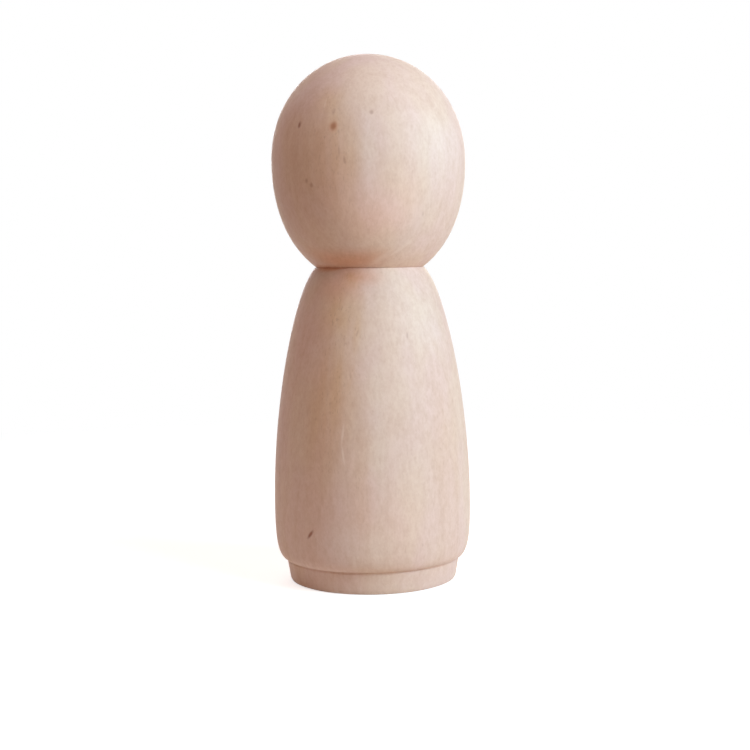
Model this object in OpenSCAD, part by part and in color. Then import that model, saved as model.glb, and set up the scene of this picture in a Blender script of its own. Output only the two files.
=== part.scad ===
// Peg doll: a turned wooden body on a stepped foot, and a plain turned head that turns on a neck dowel.
// Lengths are in millimetres and angles in degrees. The doll stands on Z = 0 with its axis along Z.

/* [Foot] */
// Height of the foot, from the floor up to the crease under the hem
foot_h = 4.3; // [2.5:0.1:8]
// How far the foot's side draws in from the crease down to the floor
foot_taper = 0.75; // [0:0.05:2]
// Rounding of the foot's lower edge
foot_edge_r = 0.5; // [0.2:0.1:1.5]

/* [Body] */
// Largest diameter of the body
belly_d = 37.8; // [30:0.1:48]
// Height of the hem's curve, from the crease up to the largest diameter
hem_h = 10.6; // [6:0.1:16]
// How far the hem rounds in, from the largest radius to the crease
hem_inset = 2.2; // [1:0.1:4]
// Slope of the hem's underside where it meets the foot, from level
hem_slope = 14; // [0:1:45]
// How far the hem's curve swells out to its corner: 0 is a straight line, 1 a sharp corner
hem_fullness = 0.75; // [0.4:0.01:0.9]
// Height of the body's side, from the largest diameter up to the flat top
side_h = 45.1; // [32:0.1:60]
// Slope of the body's side where it meets the flat top, from level
shoulder_slope = 47; // [30:1:60]
// How far the side's curve swells out to its corner: 0 is a straight line, 1 a sharp corner
side_fullness = 0.51; // [0.4:0.01:0.8]
// How far the body's flat top stands out round the head's seat
shoulder_ledge = 0.2; // [0.1:0.1:2]

/* [Head] */
// Largest diameter of the head
head_d = 36.8; // [28:0.1:46]
// Diameter of the flat seat under the head
seat_d = 20.4; // [14:0.1:26]
// Height of the jaw, from the seat up to the largest diameter
jaw_h = 20; // [14:0.1:28]
// Slope of the jaw where it meets the seat, from level
jaw_slope = 37; // [20:1:60]
// How far the jaw's curve swells out to its corner: 0 is a straight line, 1 a sharp corner
jaw_fullness = 0.65; // [0.4:0.01:0.8]
// Height of the crown, from the largest diameter up to the top
crown_h = 20; // [12:0.1:30]
// How far the crown's curve swells out to its corner: 0.55 is an ellipse
crown_fullness = 0.566; // [0.4:0.002:0.8]

/* [Neck dowel] */
// Diameter of the dowel
dowel_d = 8; // [5:0.5:11]
// Length of the dowel that is glued into the body
dowel_in_body = 16; // [10:0.5:25]
// Length of the dowel that stands up into the head
dowel_in_head = 14; // [8:0.5:22]
// Chamfer at both ends of the dowel
dowel_chamfer = 0.8; // [0.3:0.1:2]

/* [Fits] */
// Radial clearance of the head on the dowel, so that the head turns
turning_clearance = 0.06; // [0.02:0.01:0.1]
// Radial gap round the dowel in the body, filled with glue
glue_gap = 0.05; // [0.02:0.01:0.1]
// Room in each hole past the dowel's end
end_room = 1; // [0.5:0.1:3]
// Chamfer round the mouth of each hole
mouth_chamfer = 0.6; // [0.2:0.1:1.2]

/* [Hidden] */

// Radii of the turned profile
belly_r = belly_d / 2;
crease_r = belly_r - hem_inset;
foot_r = crease_r - foot_taper;
head_r = head_d / 2;
seat_r = seat_d / 2;
shoulder_r = seat_r + shoulder_ledge;
dowel_r = dowel_d / 2;

// Heights of the turned profile
belly_z = foot_h + hem_h;
neck_z = belly_z + side_h;
head_widest_z = neck_z + jaw_h;
crown_z = head_widest_z + crown_h;

// Corners that the end tangents of each curve meet at
hem_corner = [belly_r, foot_h + hem_inset * tan(hem_slope)];
shoulder_corner = [belly_r, neck_z - (belly_r - shoulder_r) * tan(shoulder_slope)];
jaw_corner = [head_r, neck_z + (head_r - seat_r) * tan(jaw_slope)];
crown_corner = [head_r, crown_z];

// Fullness of a small rounded edge, and the steps that a small edge and a long curve are drawn in
edge_fullness = 0.55;
edge_steps = 6;
curve_steps = 28;
// Facets of a full turn
turn_facets = 128;
// How far a hole's cutter reaches out of its mouth
cutter_reach = 1;

pale_wood = [0.87, 0.77, 0.70];
dowel_wood = [0.80, 0.66, 0.50];

// Points of a smooth curve, without its first, whose tangents at the two ends meet at the corner
function corner_curve(from, corner, to, fullness, steps) =
    let (
        from_handle = from + fullness * (corner - from),
        to_handle = to + fullness * (corner - to)
    )
    [
        for (i = [1 : steps])
            let (t = i / steps, s = 1 - t)
                s^3 * from + 3 * s^2 * t * from_handle + 3 * s * t^2 * to_handle + t^3 * to
    ];

// The foot's side leans, so its rounded lower edge ends on this point of the leaning line
foot_edge_top = [foot_r + foot_taper * foot_edge_r / foot_h, foot_edge_r];

body_profile = concat(
    [[0, 0], [foot_r - foot_edge_r, 0]],
    corner_curve([foot_r - foot_edge_r, 0], [foot_r, 0], foot_edge_top, edge_fullness, edge_steps),
    [[crease_r, foot_h]],
    corner_curve([crease_r, foot_h], hem_corner, [belly_r, belly_z], hem_fullness, curve_steps),
    corner_curve([belly_r, belly_z], shoulder_corner, [shoulder_r, neck_z], side_fullness, curve_steps),
    [[0, neck_z]]
);

head_profile = concat(
    [[0, neck_z], [seat_r, neck_z]],
    corner_curve([seat_r, neck_z], jaw_corner, [head_r, head_widest_z], jaw_fullness, curve_steps),
    corner_curve([head_r, head_widest_z], crown_corner, [0, crown_z], crown_fullness, curve_steps)
);

// A shape turned about the Z axis from its profile of [radius, height] points
module turned(profile) {
    rotate_extrude($fn = turn_facets) polygon(profile);
}

// Cutter for a dowel hole that goes up from a mouth at Z = 0
module dowel_hole(depth, clearance) {
    bore_r = dowel_r + clearance;
    mouth_r = bore_r + mouth_chamfer + cutter_reach;
    turned([
        [0, -cutter_reach], [mouth_r, -cutter_reach],
        [bore_r, mouth_chamfer], [bore_r, depth], [0, depth]
    ]);
}

// Body and foot, turned in one piece, with the hole that the dowel is glued into
module body() {
    color(pale_wood)
    difference() {
        turned(body_profile);
        translate([0, 0, neck_z])
            mirror([0, 0, 1])
                dowel_hole(dowel_in_body + end_room, glue_gap);
    }
}

// Head, with the hole that turns on the dowel; its seat lies on the body's flat top
module head() {
    color(pale_wood)
    difference() {
        turned(head_profile);
        translate([0, 0, neck_z]) dowel_hole(dowel_in_head + end_room, turning_clearance);
    }
}

// Smooth dowel with chamfered ends
module neck_dowel() {
    low_z = neck_z - dowel_in_body;
    high_z = neck_z + dowel_in_head;
    end_r = dowel_r - dowel_chamfer;
    color(dowel_wood)
    turned([
        [0, low_z], [end_r, low_z], [dowel_r, low_z + dowel_chamfer],
        [dowel_r, high_z - dowel_chamfer], [end_r, high_z], [0, high_z]
    ]);
}

body();
head();
neck_dowel();
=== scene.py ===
import math
from collections import namedtuple

import bpy
import numpy as np
from mathutils import Euler, Matrix, Vector, noise


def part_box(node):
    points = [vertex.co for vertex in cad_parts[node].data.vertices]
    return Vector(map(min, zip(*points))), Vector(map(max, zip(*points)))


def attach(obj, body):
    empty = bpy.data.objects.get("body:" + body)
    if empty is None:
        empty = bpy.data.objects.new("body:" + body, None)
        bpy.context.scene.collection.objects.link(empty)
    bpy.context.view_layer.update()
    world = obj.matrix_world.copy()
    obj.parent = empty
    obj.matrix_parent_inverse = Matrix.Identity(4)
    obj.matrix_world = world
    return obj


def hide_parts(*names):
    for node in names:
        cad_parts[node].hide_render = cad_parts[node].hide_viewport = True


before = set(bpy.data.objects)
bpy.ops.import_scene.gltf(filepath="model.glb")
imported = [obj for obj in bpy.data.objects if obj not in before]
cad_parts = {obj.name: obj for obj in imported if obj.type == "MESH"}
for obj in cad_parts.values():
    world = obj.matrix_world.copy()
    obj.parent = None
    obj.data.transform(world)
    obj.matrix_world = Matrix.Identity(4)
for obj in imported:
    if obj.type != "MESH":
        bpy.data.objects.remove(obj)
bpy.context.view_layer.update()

# A bare turned wooden peg doll on a pale floor, in soft light from the viewer's right.
# Lengths are in millimetres and angles in degrees. Bearings go round the doll's axis from the side
# that faces the viewer, and grow towards the viewer's right.
MM = 0.001
PICTURE_SIDE = 750

# Camera
EYE = (0.0, -277.85, 63.74)
EYE_YAW = 1.955
EYE_PITCH = 5.052
EYE_ROLL = -0.523
EYE_FOCUS_PIXELS = 1448.2
EYE_AXIS_PIXEL = 420.35
SENSOR_WIDTH = 36.0
NEAR_CLIP = 10.0

# Turned meshes
TURN_STEPS = 240
RING_GAP = 0.45
# Outline points are read to this many decimals, and those nearer than this are one point
OUTLINE_DECIMALS = 3
SAME_POINT = 0.01
# A ring smaller than this is a point on the axis
ON_AXIS = 1e-6
# An outline is rounded or grooved where it bends by more than this, and a curve ends at a long straight
SHARP_BEND = 25.0
LONG_STRAIGHT = 3.0
EDGE_REACH = {"body": 0.24, "head": 0.05}
EDGE_STEPS = 5
GROOVE_WIDTH = 0.80
GROOVE_DEPTH = 0.28
# Rings this near the dowel belong to its hole
BORE_MARGIN = 2.0
# Hand sanding: its depth, the length over which it changes, and how often it changes
WOBBLE_DEPTH = 0.06
WOBBLE_LENGTH = 13.0
WOBBLE_RATE = 1.4


def make_camera():
    """A camera where the photographer stood, with the lens axis to the right of the picture's middle."""
    yaw, pitch, roll = (math.radians(a) for a in (EYE_YAW, EYE_PITCH, EYE_ROLL))
    ahead = Vector((math.sin(yaw) * math.cos(pitch), math.cos(yaw) * math.cos(pitch), -math.sin(pitch)))
    level = Vector((math.cos(yaw), -math.sin(yaw), 0.0))
    upright = level.cross(ahead)
    right = math.cos(roll) * level + math.sin(roll) * upright
    up = math.cos(roll) * upright - math.sin(roll) * level
    data = bpy.data.cameras.new("camera")
    data.sensor_width = SENSOR_WIDTH
    data.lens = SENSOR_WIDTH * EYE_FOCUS_PIXELS / PICTURE_SIDE
    data.shift_x = (PICTURE_SIDE / 2 - EYE_AXIS_PIXEL) / PICTURE_SIDE
    data.clip_start = NEAR_CLIP * MM
    camera = bpy.data.objects.new("camera", data)
    place = Matrix((right, up, -ahead)).transposed().to_4x4()
    place.translation = Vector(EYE) * MM
    camera.matrix_world = place
    bpy.context.scene.collection.objects.link(camera)
    bpy.context.scene.camera = camera


# Outlines of the turned pieces, read from the CAD nodes

def hole_reach():
    """The radius inside which a ring may belong to the dowel's hole, in millimetres."""
    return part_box("neck_dowel")[1].x / MM + BORE_MARGIN


def node_rings(node):
    """The node's turned rings as (radius, height) points in millimetres, lowest first."""
    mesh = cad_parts[node].data
    corners = np.empty(3 * len(mesh.vertices))
    mesh.vertices.foreach_get("co", corners)
    x, y, z = corners.reshape(-1, 3).T / MM
    heights_first = np.round(np.column_stack([z, np.hypot(x, y)]), OUTLINE_DECIMALS)
    rings = np.unique(heights_first, axis=0)[:, ::-1]
    far_apart = [0]
    for i in range(1, len(rings)):
        if np.linalg.norm(rings[i] - rings[far_apart[-1]]) > SAME_POINT:
            far_apart.append(i)
    return rings[far_apart]


def outline(node):
    """The node's closed outline from axis to axis, with its dowel hole, in millimetres."""
    rings = node_rings(node)
    rings = rings[rings[:, 0] > SAME_POINT]
    dowel_low, dowel_high = (corner.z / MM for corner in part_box("neck_dowel"))
    beside_dowel = (rings[:, 1] > dowel_low - BORE_MARGIN) & (rings[:, 1] < dowel_high + BORE_MARGIN)
    in_hole = (rings[:, 0] < hole_reach()) & beside_dowel
    hole = rings[in_hole][::-1]
    outside = rings[~in_hole]
    low, high = (corner.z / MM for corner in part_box(node))
    if hole[0, 1] > high - BORE_MARGIN:
        return np.vstack([(0.0, low), outside, hole, (0.0, hole[-1, 1])])
    return np.vstack([(0.0, hole[0, 1]), hole, outside, (0.0, high)])


def smooth_curve(points, start_cut, end_cut):
    """Points a ring gap apart on a smooth curve through the given ones, less a cut at each end."""
    chord = np.concatenate([[0.0], np.cumsum(np.linalg.norm(np.diff(points, axis=0), axis=1))])
    if len(points) == 2:
        at = np.array([start_cut, chord[-1] - end_cut])
        return points[0] + (points[1] - points[0]) * (at / chord[-1])[:, None]
    slope = np.gradient(points, chord, axis=0, edge_order=2)
    length = chord[-1] - start_cut - end_cut
    at = start_cut + np.linspace(0.0, length, max(3, round(length / RING_GAP) + 1))
    k = np.clip(np.searchsorted(chord, at, side="right") - 1, 0, len(points) - 2)
    span = (chord[k + 1] - chord[k])[:, None]
    t = (at - chord[k])[:, None] / span
    from_start = (1 + 2 * t) * (1 - t) ** 2 * points[k] + t * (1 - t) ** 2 * span * slope[k]
    from_end = t ** 2 * (3 - 2 * t) * points[k + 1] - t ** 2 * (1 - t) * span * slope[k + 1]
    return from_start + from_end


def rounded_edge(before, corner, after):
    """The inner points of a small curve from one side of a corner to the other."""
    t = np.linspace(0.0, 1.0, EDGE_STEPS + 2)[1:-1, None]
    return (1 - t) ** 2 * before + 2 * t * (1 - t) * corner + t ** 2 * after


def cut_groove(before, corner, after):
    """The inner points of the fine groove that the turning tool leaves in an inner corner."""
    into_wood = 2 * corner - before - after
    return rounded_edge(before, corner + 2 * GROOVE_DEPTH * into_wood / np.linalg.norm(into_wood), after)


def softened_outline(node):
    """The outline with smooth curves, its outer edges sanded round and a fine groove in its inner corner."""
    points = outline(node)
    step = np.diff(points, axis=0)
    length = np.linalg.norm(step, axis=1)
    heading = np.unwrap(np.arctan2(step[:, 1], step[:, 0]))
    bend = np.degrees(np.diff(heading))
    last = len(points) - 1
    cut = {i: 0.0 for i in range(last + 1)}
    for i in range(1, last):
        if bend[i - 1] > SHARP_BEND:
            cut[i] = EDGE_REACH[node]
        elif bend[i - 1] < -SHARP_BEND:
            cut[i] = GROOVE_WIDTH / 2
    joins = {i for i in range(1, last) if max(length[i - 1], length[i]) > LONG_STRAIGHT}
    stops = sorted({i for i in cut if cut[i]} | joins | {0, last})
    rings = [points[:1]]
    for start, stop in zip(stops, stops[1:]):
        curve = smooth_curve(points[start:stop + 1], cut[start], cut[stop])
        if cut[start]:
            edge = rounded_edge if bend[start - 1] > 0 else cut_groove
            rings.append(edge(rings[-1][-1], points[start], curve[0]))
            rings.append(curve)
        else:
            rings.append(curve[1:])
    return np.vstack(rings)


def wobble(bearing, height, seed):
    """How far hand sanding has gone below a true circle, in millimetres."""
    spot = Vector((math.cos(bearing), math.sin(bearing), height / WOBBLE_LENGTH + seed))
    return WOBBLE_DEPTH * (noise.noise(spot * WOBBLE_RATE) - 1.0) / 2


def turned_piece(name, node, seed):
    """A closed mesh turned from the node's outline, in the node's place."""
    rings = softened_outline(node)
    sanded_from = hole_reach()
    turn = 2 * math.pi / TURN_STEPS
    corners = []
    ring_starts = []
    for radius, height in rings:
        ring_starts.append(len(corners))
        if radius < ON_AXIS:
            corners.append((0.0, 0.0, height * MM))
            continue
        for i in range(TURN_STEPS):
            sanding = wobble(i * turn, height, seed) if radius > sanded_from else 0.0
            reach = (radius + sanding) * MM
            corners.append((reach * math.cos(i * turn), reach * math.sin(i * turn), height * MM))
    faces = []
    for k in range(len(rings) - 1):
        low, high = ring_starts[k], ring_starts[k + 1]
        for i in range(TURN_STEPS):
            j = (i + 1) % TURN_STEPS
            if rings[k][0] < ON_AXIS:
                faces.append((low, high + j, high + i))
            elif rings[k + 1][0] < ON_AXIS:
                faces.append((low + i, low + j, high))
            else:
                faces.append((low + i, low + j, high + j, high + i))
    mesh = bpy.data.meshes.new(name)
    mesh.from_pydata(corners, [], faces)
    mesh.shade_smooth()
    mesh.set_sharp_from_angle(angle=math.radians(SHARP_BEND))
    piece = bpy.data.objects.new(name, mesh)
    bpy.context.scene.collection.objects.link(piece)
    return piece


# Node trees

class Nodes:
    """Adds nodes to one tree. An input takes a plain value or another node's output."""

    def __init__(self, tree):
        self.tree = tree
        tree.nodes.clear()

    def add(self, kind, inputs, output=0, **settings):
        node = self.tree.nodes.new(kind)
        for name, value in settings.items():
            setattr(node, name, value)
        for key, value in inputs.items():
            if isinstance(value, bpy.types.NodeSocket):
                self.tree.links.new(value, node.inputs[key])
            else:
                node.inputs[key].default_value = value
        return node.outputs[output] if node.outputs else None

    def math(self, operation, *values):
        return self.add("ShaderNodeMath", dict(enumerate(values)), operation=operation)

    def vector(self, operation, *values):
        return self.add("ShaderNodeVectorMath", dict(enumerate(values)), operation=operation)

    def length(self, vector):
        return self.add("ShaderNodeVectorMath", {0: vector}, output="Value", operation="LENGTH")

    def noise(self, vector, scale, seed, detail):
        inputs = {"Vector": vector, "W": seed, "Scale": scale, "Detail": detail}
        return self.add("ShaderNodeTexNoise", inputs, noise_dimensions="4D")

    def ramp(self, value, start, end, low=0.0, high=1.0):
        inputs = {"Value": value, 1: start, 2: end, 3: low, 4: high}
        return self.add("ShaderNodeMapRange", inputs, interpolation_type="SMOOTHSTEP")

    def mix(self, factor, a, b):
        return self.add("ShaderNodeMix", {0: factor, 6: a, 7: b}, output=2, data_type="RGBA")

    def tint(self, factor, colour, by):
        inputs = {0: factor, 6: colour, 7: by}
        return self.add("ShaderNodeMix", inputs, output=2, data_type="RGBA", blend_type="MULTIPLY")


def solid(red, green, blue):
    return (red, green, blue, 1.0)


# Wood

ROSE_WOOD = solid(0.81, 0.628, 0.570)
CREAM_WOOD = solid(0.81, 0.644, 0.542)
DEEP_WOOD = solid(0.665, 0.470, 0.372)
PORE_WOOD = solid(0.42, 0.250, 0.170)
FLECK_WOOD = solid(0.30, 0.100, 0.060)
SCAR_WOOD = solid(0.93, 0.790, 0.700)
DOWEL_PALE = solid(0.66, 0.470, 0.300)
DOWEL_DEEP = solid(0.50, 0.320, 0.180)
# Shares of red, green and blue at full strength: a tan zone, partly painted shade; a pale zone, partly
# painted highlight and painted light; a rosy zone; and a stained zone, partly painted shade in the neck's
# crease and seam
TAN_AND_SHADE_TINT = solid(0.945, 0.83, 0.58)
PALE_AND_LIT_TINT = solid(1.12, 1.28, 1.36)
ROSY_TINT = solid(1.30, 1.10, 0.98)
STAIN_AND_SHADE_TINT = solid(0.89, 0.545, 0.345)
# Marks: how deep one reaches into the wood, the share of its half size at which it has faded out,
# and the share up to which a soft zone or a small spot keeps its full strength
MARK_DEPTH = 3.0
MARK_END = 1.25
ZONE_CORE = 0.0
SPOT_CORE = 0.25
# How far the painted shade in the neck's crease reaches
CREASE_SHADE_REACH = 5.0

# Layers of grain: how far each is drawn out along the doll, its scale, its place in the noise and its detail
Grain = namedtuple("Grain", "stretch scale layer detail")
GRAINS = {
    "tone": Grain(stretch=3.0, scale=0.09, layer=1.0, detail=2.0),
    "streak": Grain(stretch=30.0, scale=0.45, layer=2.0, detail=2.0),
    "fibre": Grain(stretch=14.0, scale=1.5, layer=3.0, detail=2.0),
    "cloud": Grain(stretch=2.0, scale=1.2, layer=4.0, detail=2.0),
    "mottle": Grain(stretch=1.5, scale=2.6, layer=5.0, detail=2.0),
    "pores": Grain(stretch=3.0, scale=3.0, layer=6.0, detail=1.0),
    "hue": Grain(stretch=2.5, scale=0.16, layer=7.0, detail=1.0),
}
# How much each layer deepens the wood, and what is taken off their sum
DEPTH_SHARES = {"tone": 0.55, "streak": 0.40, "fibre": 0.27, "cloud": 0.92, "mottle": 0.80}
DEPTH_OFFSET = 1.25
# A ramp has the values between which it rises or falls and, after them, what it gives at its two ends
PORE_RAMP = (0.56, 0.74)
HUE_RAMP = (0.35, 0.65)
TAN_RAMP = (0.3, 0.7, 0.75, 1.25)
ROUGHNESS_RAMP = (0.2, 0.8, 0.48, 0.60)
# How strongly the pores show everywhere, and how much more in a tan zone
PORE_SHOW = 0.05
PORE_SHOW_IN_TAN = 0.42
SPECULAR_LEVEL = 0.2
BUMP_STRENGTH = 0.35
BUMP_DISTANCE = 0.05
PORE_HOLLOW = 0.5
MOTTLE_RELIEF = 0.5

# Growth rings: their drift from true circles, and their dark late wood
DRIFT_REACH = 6.0
DRIFT_SCALE = 0.06
DRIFT_DETAIL = 2.0
DRIFT_ALONG = 0.15
LATE_WOOD_POWER = 4.0
LATE_WOOD_RAMP = (0.93, 1.0, 1.0, 0.0)
YEAR_RAMP = (0.0, 1.0, 0.3, 1.0)

# Dowel
DOWEL_ALONG = 0.03
DOWEL_SCALE = 2.5
DOWEL_SEED = 21.0
DOWEL_DETAIL = 3.0
DOWEL_COLOUR_RAMP = (0.25, 0.75)
DOWEL_ROUGHNESS_RAMP = (0.2, 0.8, 0.45, 0.6)
DOWEL_BUMP_STRENGTH = 0.3

# A blank of wood: its noise seed, the place and lean of the tree's pith, the width of a year's growth, the
# strength of its rings and of the painted shade in its neck crease, and its marks. Stains are red-brown, and
# those at the neck are painted shade and the head's painted shadow. Flecks are dark, scars pale and thin,
# shades tan and on the front's left partly painted shade, lights pale and in places painted highlight and
# painted light, and blushes rosy. A mark has height, bearing, length, width, lean to the right and strength.
Blank = namedtuple("Blank", "seed pith lean year rings crease stains flecks scars shades lights blushes")
HEAD_BLANK = Blank(
    seed=8.0, pith=(2.0, 73.0), lean=(0.0, 0.0), year=4.3, rings=0.18, crease=0.08,
    stains=[
        # The first two stains are painted shade: warm shade under the jaw and shade in the seam on the left.
        # The third is a real halo round a fleck.
        (61.3, -22.0, 6.5, 27.0, 0, 0.58),
        (60.0, -45.0, 2.0, 14.5, 0, 0.50),
        (85.3, -20.4, 2.4, 2.0, 10, 0.60),
    ],
    flecks=[
        (85.3, -20.4, 1.80, 1.35, 10, 0.50),
        (85.9, -44.8, 1.40, 0.90, 0, 0.68),
        (87.9, -21.3, 1.60, 0.80, 0, 0.18),
        (87.7, 2.1, 1.00, 0.80, 0, 0.36),
        (79.3, -13.5, 1.40, 0.60, -8, 0.28),
        (80.8, -16.6, 2.00, 0.50, 0, 0.16),
        (75.8, -38.2, 1.00, 0.80, 0, 0.34),
        (75.0, -34.9, 1.10, 0.85, 0, 0.34),
        (69.7, 35.1, 1.10, 0.60, -10, 0.14),
        (88.0, 128.0, 1.30, 0.80, 6, 0.45),
        (72.5, 164.0, 1.60, 0.60, -8, 0.35),
        (83.0, 197.0, 1.20, 0.90, 0, 0.45),
        (66.5, 226.0, 1.20, 0.60, 10, 0.30),
        (90.0, 255.0, 1.00, 0.70, 0, 0.38),
    ],
    scars=[
        (89.6, -28.0, 2.40, 0.45, 0, 0.30),
        (61.8, 10.0, 5.50, 1.30, 56, 0.28),
        (63.6, 25.0, 8.00, 0.90, 52, 0.30),
    ],
    shades=[
        # The first three are tan wood and painted shade where the core shadow falls on the front's left. The
        # last two are tan wood at the back.
        (82.0, -22.0, 28.0, 13.0, 0, 0.55),
        (79.0, -15.5, 15.0, 8.0, 0, 0.60),
        (90.0, -27.0, 11.0, 8.0, 0, 0.50),
        (79.0, 138.0, 30.0, 8.0, 0, 0.42),
        (78.0, 205.0, 28.0, 9.0, 0, 0.48),
    ],
    lights=[
        (81.0, 0.0, 24.0, 4.0, 0, 0.24),
        # Painted highlight on the head's lit right side
        (83.0, 46.0, 18.0, 17.0, 0, 0.36),
        # Painted cool light on the crown's left edge
        (92.0, -64.0, 15.0, 11.0, 0, 0.42),
        (80.0, 170.0, 28.0, 7.0, 0, 0.26),
        (77.0, 240.0, 26.0, 9.0, 0, 0.24),
    ],
    blushes=[(69.0, 3.0, 30.0, 24.0, 0, 0.36)],
)
BODY_BLANK = Blank(
    seed=2.0, pith=(-6.0, 62.0), lean=(5.0, -1.5), year=3.1, rings=0.32, crease=0.0,
    stains=[
        # All four stains are painted shade: the head's shadow on the shoulder and shade in the seam on the
        # left.
        (58.6, -15.0, 5.5, 14.0, 0, 0.58),
        (57.0, -28.0, 9.0, 14.0, 0, 0.46),
        (56.8, -19.0, 7.0, 6.0, 10, 0.34),
        (60.0, -45.0, 2.0, 14.5, 0, 0.50),
    ],
    flecks=[
        (11.3, -37.7, 2.40, 0.75, 40, 0.80),
        (47.6, 26.2, 1.40, 0.50, 0, 0.26),
        (48.3, -9.2, 1.50, 0.40, 20, 0.24),
        (9.3, 29.0, 0.80, 0.40, 0, 0.14),
        (44.5, 104.0, 1.20, 0.50, -6, 0.30),
        (22.0, 141.0, 2.00, 0.60, 22, 0.52),
        (46.0, 176.0, 1.40, 0.50, -10, 0.38),
        (14.5, 219.0, 1.70, 0.60, 14, 0.46),
        (37.0, 250.0, 1.30, 0.50, 0, 0.32),
    ],
    scars=[
        (30.0, -17.0, 4.60, 0.45, 6, 0.45),
        (26.4, -16.6, 4.00, 0.50, -9, 0.50),
    ],
    shades=[
        # The first two are tan wood and painted core shadow on the front's left. The third is the head's
        # painted shadow under the seam. The rest are tan grain.
        (52.0, -24.0, 20.0, 11.0, 6, 0.62),
        (38.0, -25.0, 56.0, 11.0, 5, 0.60),
        (57.4, -17.5, 6.0, 5.5, 10, 0.50),
        (49.0, -10.0, 16.0, 2.4, 4, 0.46),
        (38.5, -14.5, 15.0, 2.2, 12, 0.42),
        (29.0, -20.0, 13.0, 2.0, 8, 0.34),
        (24.3, 49.2, 45.0, 11.0, 0, 0.15),
        (19.1, -6.8, 30.0, 7.5, 0, 0.20),
        (36.0, 124.0, 56.0, 9.0, 4, 0.40),
        (32.0, 190.0, 58.0, 10.0, -4, 0.50),
        (30.0, 246.0, 50.0, 9.0, 3, 0.36),
    ],
    lights=[
        (30.9, 3.8, 52.0, 4.0, 0, 0.22),
        # Painted cool light on the body's left edge
        (28.0, -49.0, 60.0, 11.0, 0, 0.42),
        # Painted floor bounce on the lower front above the hem
        (9.0, -14.0, 10.0, 26.0, 0, 0.32),
        # Painted highlight on the lit right of the shoulder
        (50.0, 46.0, 18.0, 14.0, 0, 0.36),
        (30.0, 157.0, 52.0, 8.0, 2, 0.26),
        (33.0, 220.0, 50.0, 7.0, -2, 0.26),
    ],
    blushes=[(13.0, 12.0, 22.0, 20.0, 0, 0.12)],
)


def radius_along(node):
    """The node's outer radius as a function of height."""
    points = outline(node)
    side = points[points[:, 0] > hole_reach()]
    return lambda height: float(np.interp(height, side[:, 1], side[:, 0]))


def marks(nodes, place, node, rows, core):
    """Where the listed marks lie: each mark's strength in its core, down to 0 past its edge."""
    radius_at = radius_along(node)
    total = 0.0
    for height, bearing, length, width, lean, strength in rows:
        turn = math.radians(bearing)
        radius = radius_at(height)
        inputs = {
            "Vector": place,
            "Location": (radius * math.sin(turn), -radius * math.cos(turn), height),
            "Rotation": Euler((0.0, math.radians(lean), turn)),
            "Scale": (width / 2, MARK_DEPTH, length / 2),
        }
        local = nodes.add("ShaderNodeMapping", inputs, vector_type="TEXTURE")
        fading = nodes.ramp(nodes.length(local), core, MARK_END, strength, 0.0)
        total = nodes.math("MAXIMUM", fading, total)
    return total


def growth_rings(nodes, place, blank):
    """Dark late wood at the end of each year's growth, stronger in some years."""
    along = nodes.vector("MULTIPLY", place, (1.0, 1.0, DRIFT_ALONG))
    noise_inputs = {"Vector": along, "W": blank.seed, "Scale": DRIFT_SCALE, "Detail": DRIFT_DETAIL}
    drift = nodes.add("ShaderNodeTexNoise", noise_inputs, output="Color", noise_dimensions="4D")
    drift = nodes.vector("SUBTRACT", drift, (0.5, 0.5, 0.5))
    drift = nodes.vector("MULTIPLY", drift, (DRIFT_REACH, DRIFT_REACH, 0.0))
    mapping_inputs = {
        "Vector": nodes.vector("ADD", place, drift),
        "Location": (*blank.pith, 0.0),
        "Rotation": Euler((math.radians(blank.lean[0]), math.radians(blank.lean[1]), 0.0)),
    }
    from_pith = nodes.add("ShaderNodeMapping", mapping_inputs, vector_type="TEXTURE")
    distance = nodes.length(nodes.vector("MULTIPLY", from_pith, (1.0, 1.0, 0.0)))
    years = nodes.math("DIVIDE", distance, blank.year)
    part = nodes.math("FRACT", years)
    darkening = nodes.math("POWER", part, LATE_WOOD_POWER)
    late = nodes.math("MULTIPLY", darkening, nodes.ramp(part, *LATE_WOOD_RAMP))
    year = nodes.math("FLOOR", years)
    strength = nodes.add("ShaderNodeTexWhiteNoise", {"W": year}, noise_dimensions="1D")
    return nodes.math("MULTIPLY", late, nodes.ramp(strength, *YEAR_RAMP))


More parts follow.
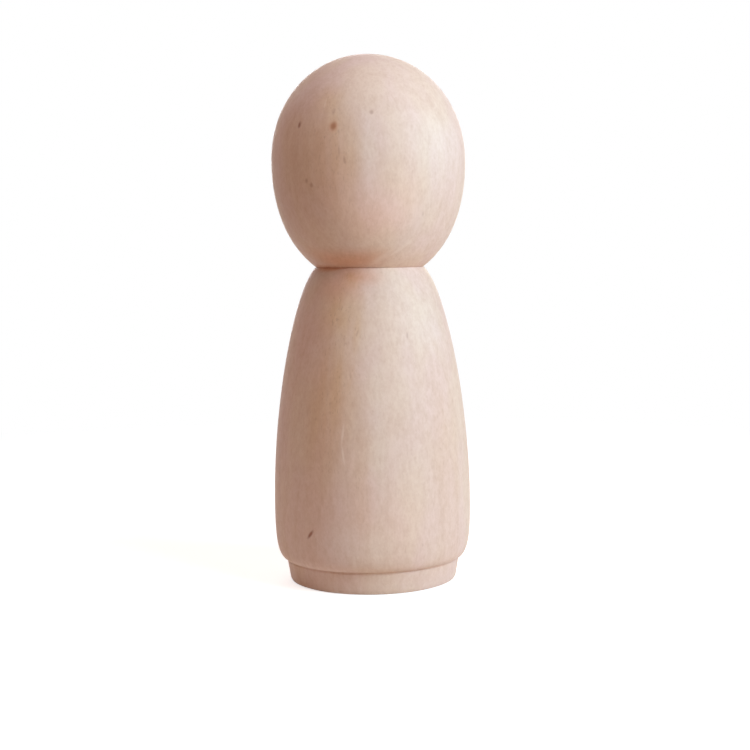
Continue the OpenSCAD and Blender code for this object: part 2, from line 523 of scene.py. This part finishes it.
def turned_wood(name, node, blank):
    """Pale close-grained wood with faint rings, long fibres, fine mottle and short pores."""
    material = bpy.data.materials.new(name)
    material.use_nodes = True
    nodes = Nodes(material.node_tree)
    coordinates = nodes.add("ShaderNodeTexCoord", {}, output="Object")
    place = nodes.vector("MULTIPLY", coordinates, (1 / MM, 1 / MM, 1 / MM))

    grains = {}
    for name_of_grain, grain in GRAINS.items():
        drawn_out = nodes.vector("MULTIPLY", place, (1.0, 1.0, 1 / grain.stretch))
        grains[name_of_grain] = nodes.noise(drawn_out, grain.scale, blank.seed + grain.layer, grain.detail)
    depth = nodes.math("MULTIPLY", growth_rings(nodes, place, blank), blank.rings)
    for name_of_grain, share in DEPTH_SHARES.items():
        depth = nodes.math("MULTIPLY_ADD", grains[name_of_grain], share, depth)
    depth = nodes.math("SUBTRACT", depth, DEPTH_OFFSET)
    pale_wood = nodes.mix(nodes.ramp(grains["hue"], *HUE_RAMP), ROSE_WOOD, CREAM_WOOD)
    colour = nodes.mix(depth, pale_wood, DEEP_WOOD)
    colour = nodes.tint(marks(nodes, place, node, blank.blushes, ZONE_CORE), colour, ROSY_TINT)
    # Pale zones: some are painted highlights and painted light on the left edges and above the hem
    colour = nodes.tint(marks(nodes, place, node, blank.lights, ZONE_CORE), colour, PALE_AND_LIT_TINT)
    # Tan zones: partly painted shade on the front's left and under the seam
    tan_and_shade = marks(nodes, place, node, blank.shades, ZONE_CORE)
    tan_and_shade = nodes.math("MULTIPLY", tan_and_shade, nodes.ramp(grains["streak"], *TAN_RAMP))
    colour = nodes.tint(tan_and_shade, colour, TAN_AND_SHADE_TINT)
    # Painted shade: the wood darkens and warms towards the neck's crease
    height = nodes.add("ShaderNodeSeparateXYZ", {0: place}, output="Z")
    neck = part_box("head")[0].z / MM
    from_neck = nodes.math("ABSOLUTE", nodes.math("SUBTRACT", height, neck))
    colour = nodes.tint(nodes.ramp(from_neck, 0.0, CREASE_SHADE_REACH, blank.crease, 0.0), colour, STAIN_AND_SHADE_TINT)
    pores = nodes.ramp(grains["pores"], *PORE_RAMP)
    pore_show = nodes.math("MULTIPLY_ADD", tan_and_shade, PORE_SHOW_IN_TAN, PORE_SHOW)
    colour = nodes.mix(nodes.math("MULTIPLY", pores, pore_show), colour, PORE_WOOD)
    # Stains: those at the neck are painted shade and the head's painted shadow
    colour = nodes.tint(marks(nodes, place, node, blank.stains, ZONE_CORE), colour, STAIN_AND_SHADE_TINT)
    fleck = marks(nodes, place, node, blank.flecks, SPOT_CORE)
    colour = nodes.mix(fleck, colour, FLECK_WOOD)
    colour = nodes.mix(marks(nodes, place, node, blank.scars, SPOT_CORE), colour, SCAR_WOOD)

    hollows = nodes.math("MULTIPLY_ADD", pores, PORE_HOLLOW, fleck)
    relief = nodes.math("SUBTRACT", nodes.math("MULTIPLY", grains["mottle"], MOTTLE_RELIEF), hollows)
    bump_inputs = {"Strength": BUMP_STRENGTH, "Distance": BUMP_DISTANCE * MM, "Height": relief}
    surface = nodes.add(
        "ShaderNodeBsdfPrincipled",
        {
            "Base Color": colour,
            "Roughness": nodes.ramp(grains["mottle"], *ROUGHNESS_RAMP),
            "Specular IOR Level": SPECULAR_LEVEL,
            "Normal": nodes.add("ShaderNodeBump", bump_inputs),
        },
    )
    nodes.add("ShaderNodeOutputMaterial", {"Surface": surface})
    return material


def dowel_wood():
    """Straight-grained hardwood rod."""
    material = bpy.data.materials.new("dowel_wood_looks")
    material.use_nodes = True
    nodes = Nodes(material.node_tree)
    coordinates = nodes.add("ShaderNodeTexCoord", {}, output="Object")
    place = nodes.vector("MULTIPLY", coordinates, (1 / MM, 1 / MM, DOWEL_ALONG / MM))
    fibre = nodes.noise(place, DOWEL_SCALE, DOWEL_SEED, DOWEL_DETAIL)
    bump_inputs = {"Strength": DOWEL_BUMP_STRENGTH, "Distance": BUMP_DISTANCE * MM, "Height": fibre}
    surface = nodes.add(
        "ShaderNodeBsdfPrincipled",
        {
            "Base Color": nodes.mix(nodes.ramp(fibre, *DOWEL_COLOUR_RAMP), DOWEL_PALE, DOWEL_DEEP),
            "Roughness": nodes.ramp(fibre, *DOWEL_ROUGHNESS_RAMP),
            "Normal": nodes.add("ShaderNodeBump", bump_inputs),
        },
    )
    nodes.add("ShaderNodeOutputMaterial", {"Surface": surface})
    return material


# Floor, world and lamps

FLOOR_RADIUS = 4000.0
FLOOR_STEPS = 96
# The floor as it is seen, with a glow that lifts it towards white
FLOOR_COLOUR = solid(0.70, 0.70, 0.70)
FLOOR_GLOW = 0.72
# The light that the floor throws back, near the doll and further off
FLOOR_NEAR_BOUNCE = solid(0.84, 0.73, 0.63)
FLOOR_FAR_BOUNCE = solid(0.74, 0.62, 0.51)
FLOOR_BOUNCE_START = 20.0
FLOOR_BOUNCE_END = 110.0
# Where the seen floor fades into plain white
FLOOR_FADE_START = 90.0
FLOOR_FADE_END = 260.0
WHITE = solid(1.0, 1.0, 1.0)
AMBIENT_COLOUR = solid(0.190, 0.071, 0.024)
LAMP_DISTANCE = 440.0
LAMP_AIM_HEIGHT = 50.0
# Name, bearing, height angle, disk width, light that reaches the doll in red, green and blue
LAMPS = [
    ("key", 54, 28, 285, (0.74, 0.970, 1.090)),
    ("top", -40, 75, 250, (0.19, 0.138, 0.118)),
    ("left_back", -115, 45, 250, (0.05, 0.084, 0.10)),
    ("back", 180, 10, 315, (0.55, 0.55, 0.55)),
]


def seen_rays(nodes):
    """1 for rays from the camera, a mirror or glass, and 0 for those that gather light."""
    def ray(kind):
        return nodes.add("ShaderNodeLightPath", {}, output=kind)
    mirrored = nodes.math("MAXIMUM", ray("Is Glossy Ray"), ray("Is Transmission Ray"))
    return nodes.math("MAXIMUM", ray("Is Camera Ray"), mirrored)


def make_world():
    """A white surround where it is seen, and a dim warm one where it lights the doll."""
    world = bpy.data.worlds.new("world")
    bpy.context.scene.world = world
    world.use_nodes = True
    nodes = Nodes(world.node_tree)
    colour = nodes.mix(seen_rays(nodes), AMBIENT_COLOUR, WHITE)
    surface = nodes.add("ShaderNodeBackground", {"Color": colour, "Strength": 1.0})
    nodes.add("ShaderNodeOutputWorld", {"Surface": surface})


def make_floor():
    """A round pale floor under the doll that keeps its shadow and fades into white."""
    turn = 2 * math.pi / FLOOR_STEPS
    reach = FLOOR_RADIUS * MM
    edge = [(reach * math.cos(i * turn), reach * math.sin(i * turn), 0.0) for i in range(FLOOR_STEPS)]
    mesh = bpy.data.meshes.new("floor")
    mesh.from_pydata(edge, [], [tuple(range(FLOOR_STEPS))])
    floor = bpy.data.objects.new("floor", mesh)
    bpy.context.scene.collection.objects.link(floor)
    material = bpy.data.materials.new("pale_floor")
    material.use_nodes = True
    nodes = Nodes(material.node_tree)
    seen = seen_rays(nodes)
    place = nodes.add("ShaderNodeTexCoord", {}, output="Object")
    away = nodes.length(place)
    beyond = nodes.ramp(away, FLOOR_BOUNCE_START * MM, FLOOR_BOUNCE_END * MM)
    bounce = nodes.mix(beyond, FLOOR_NEAR_BOUNCE, FLOOR_FAR_BOUNCE)
    plain = nodes.add("ShaderNodeBsdfDiffuse", {"Color": nodes.mix(seen, bounce, FLOOR_COLOUR)})
    glow_strength = nodes.math("MULTIPLY", seen, FLOOR_GLOW)
    glow = nodes.add("ShaderNodeEmission", {"Color": WHITE, "Strength": glow_strength})
    lit = nodes.add("ShaderNodeAddShader", {0: plain, 1: glow})
    far = nodes.ramp(away, FLOOR_FADE_START * MM, FLOOR_FADE_END * MM)
    white = nodes.add("ShaderNodeEmission", {"Color": WHITE, "Strength": 1.0})
    seen_far = nodes.math("MULTIPLY", seen, far)
    surface = nodes.add("ShaderNodeMixShader", {0: seen_far, 1: lit, 2: white})
    nodes.add("ShaderNodeOutputMaterial", {"Surface": surface})
    mesh.materials.append(material)


def make_lamps():
    """Disk lamps round the doll, aimed at its middle and hidden from the camera."""
    aim = Vector((0.0, 0.0, LAMP_AIM_HEIGHT * MM))
    for name, bearing, rise, width, light in LAMPS:
        turn, tilt = math.radians(bearing), math.radians(rise)
        away = Vector((math.sin(turn) * math.cos(tilt), -math.cos(turn) * math.cos(tilt), math.sin(tilt)))
        data = bpy.data.lights.new(name, "AREA")
        data.shape = "DISK"
        data.size = width * MM
        data.color = [part / max(light) for part in light]
        # the power that lights a facing white surface to the strength given
        data.energy = max(light) * (math.pi * LAMP_DISTANCE * MM) ** 2
        lamp = bpy.data.objects.new(name, data)
        lamp.location = aim + away * LAMP_DISTANCE * MM
        lamp.rotation_euler = away.to_track_quat("Z", "Y").to_euler()
        lamp.visible_camera = False
        bpy.context.scene.collection.objects.link(lamp)


def dress(piece, node, body, material):
    """Puts the piece in the node's place, on its body, with its finish."""
    piece.data.materials.append(material)
    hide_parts(node)
    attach(piece, body)


make_camera()
make_world()
make_floor()
make_lamps()
for node, slot, blank in (("body", "body_wood", BODY_BLANK), ("head", "head_wood", HEAD_BLANK)):
    piece = turned_piece("turned_" + node, node, blank.seed)
    dress(piece, node, node, turned_wood(slot + "_looks", node, blank))
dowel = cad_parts["neck_dowel"]
dowel.data.materials.clear()
dowel.data.materials.append(dowel_wood())

bpy.context.scene.view_settings.view_transform = "Standard"
